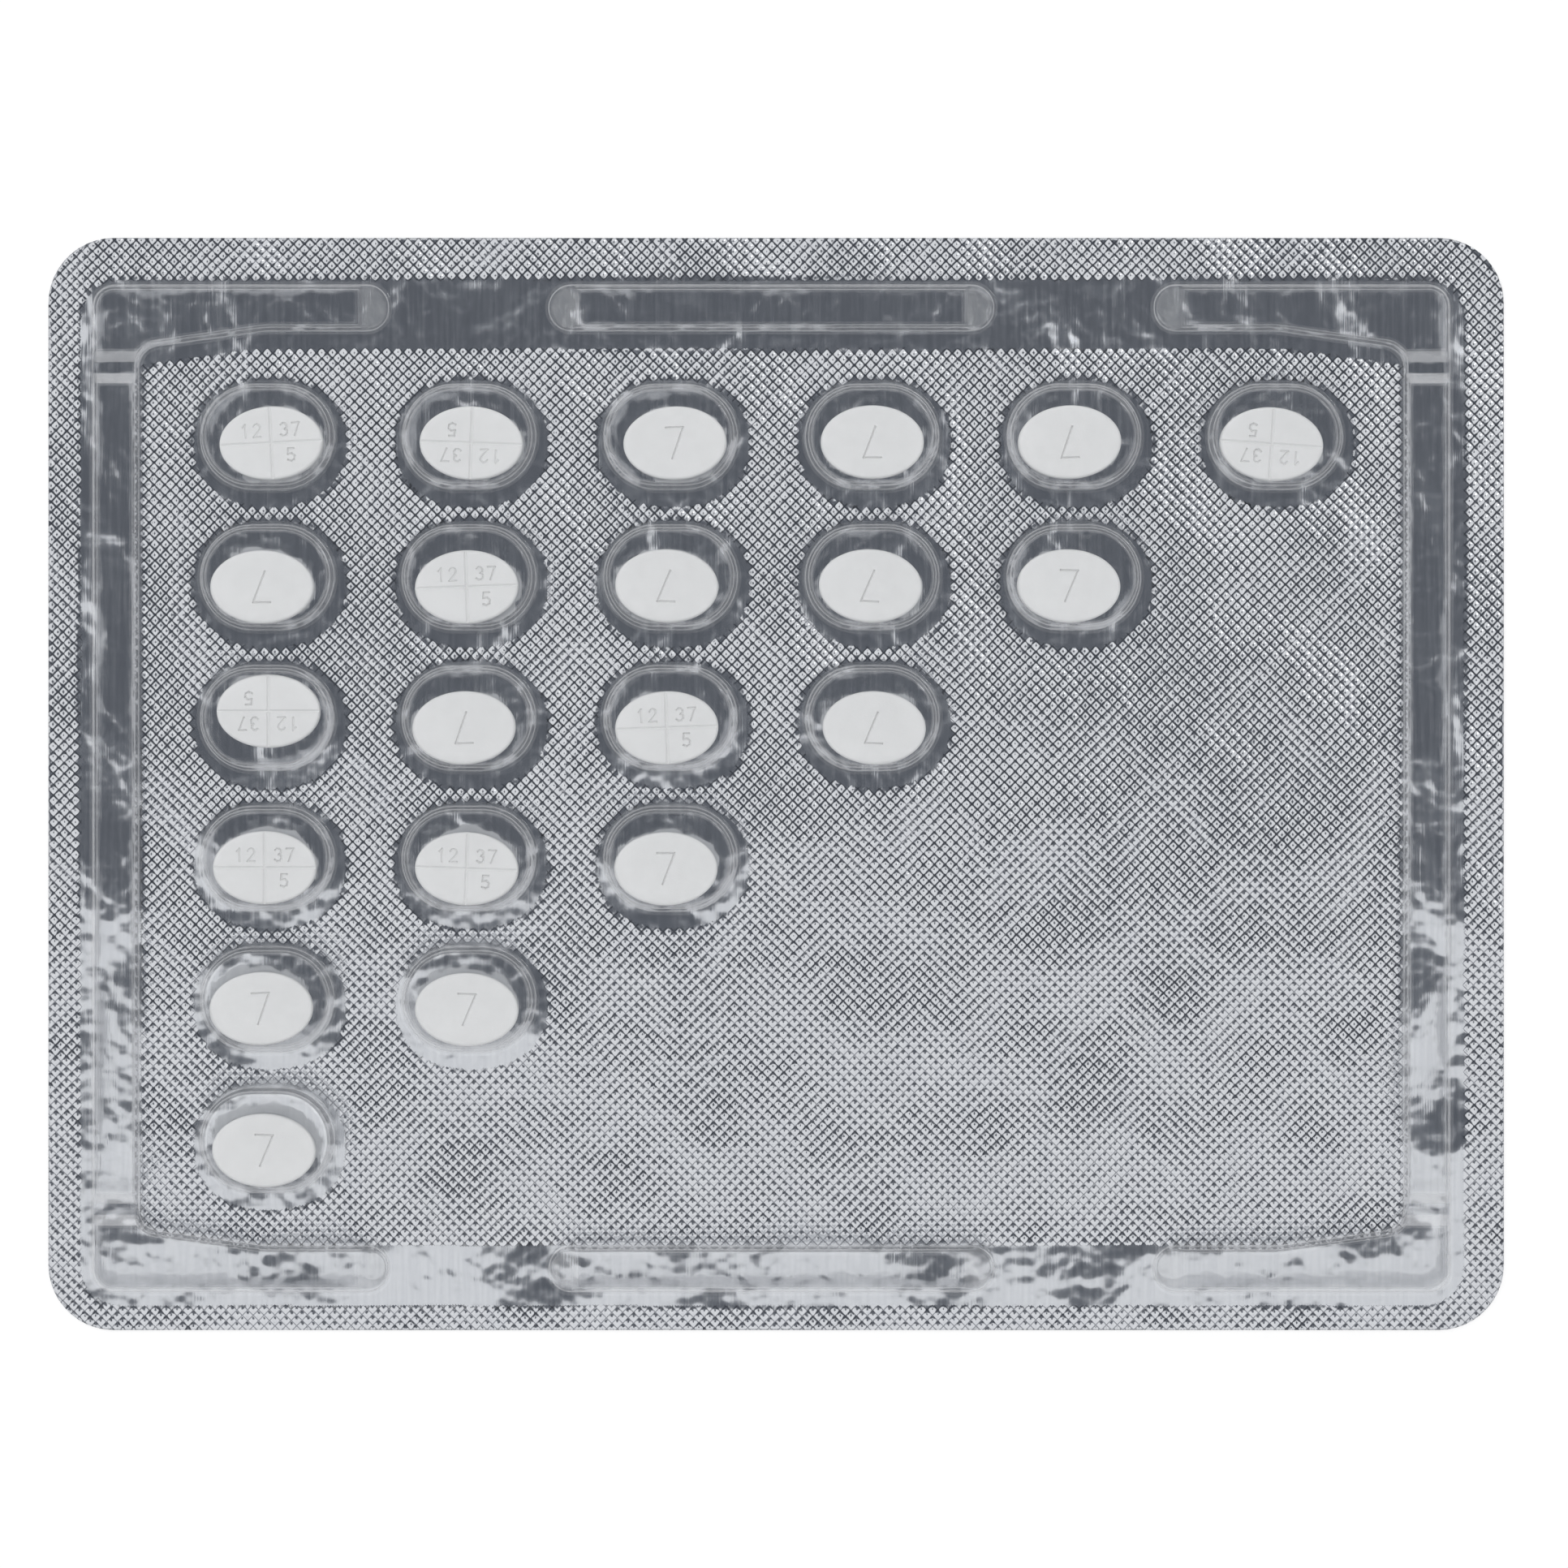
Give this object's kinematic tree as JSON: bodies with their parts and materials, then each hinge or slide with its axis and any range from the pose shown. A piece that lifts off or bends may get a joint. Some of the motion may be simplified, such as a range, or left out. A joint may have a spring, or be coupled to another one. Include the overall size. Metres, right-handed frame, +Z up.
{
  "type": "pill blister pack",
  "caption": "Clear formed blister film with a triangle of oval pockets and a frame of stiffening channels, sealed to a flat foil, with a loose scored tablet in each pocket.",
  "frame": {"origin": "centre of the foil's underside, which is the bottom centre of the overall box", "axes": "+Z up from the foil through the pockets, +X along the rows of pockets, +Y towards the longest row"},
  "size_m": [0.1314, 0.0986, 0.0045],
  "materials": {
    "film": "clear, glossy formed film",
    "foil": "bright rolled foil with a knurled seal",
    "tablet": "pressed white powder, matte"
  },
  "bodies": {
    "root": {"blister_film": "film", "lidding_foil": "foil", "tablet_row1_1": "tablet", "tablet_row1_2": "tablet", "tablet_row1_3": "tablet", "tablet_row1_4": "tablet", "tablet_row1_5": "tablet", "tablet_row1_6": "tablet", "tablet_row2_1": "tablet", "tablet_row2_2": "tablet", "tablet_row2_3": "tablet", "tablet_row2_4": "tablet", "tablet_row2_5": "tablet", "tablet_row3_1": "tablet", "tablet_row3_2": "tablet", "tablet_row3_3": "tablet", "tablet_row3_4": "tablet", "tablet_row4_1": "tablet", "tablet_row4_2": "tablet", "tablet_row4_3": "tablet", "tablet_row5_1": "tablet", "tablet_row5_2": "tablet", "tablet_row6_1": "tablet"}
  },
  "joints": []
}
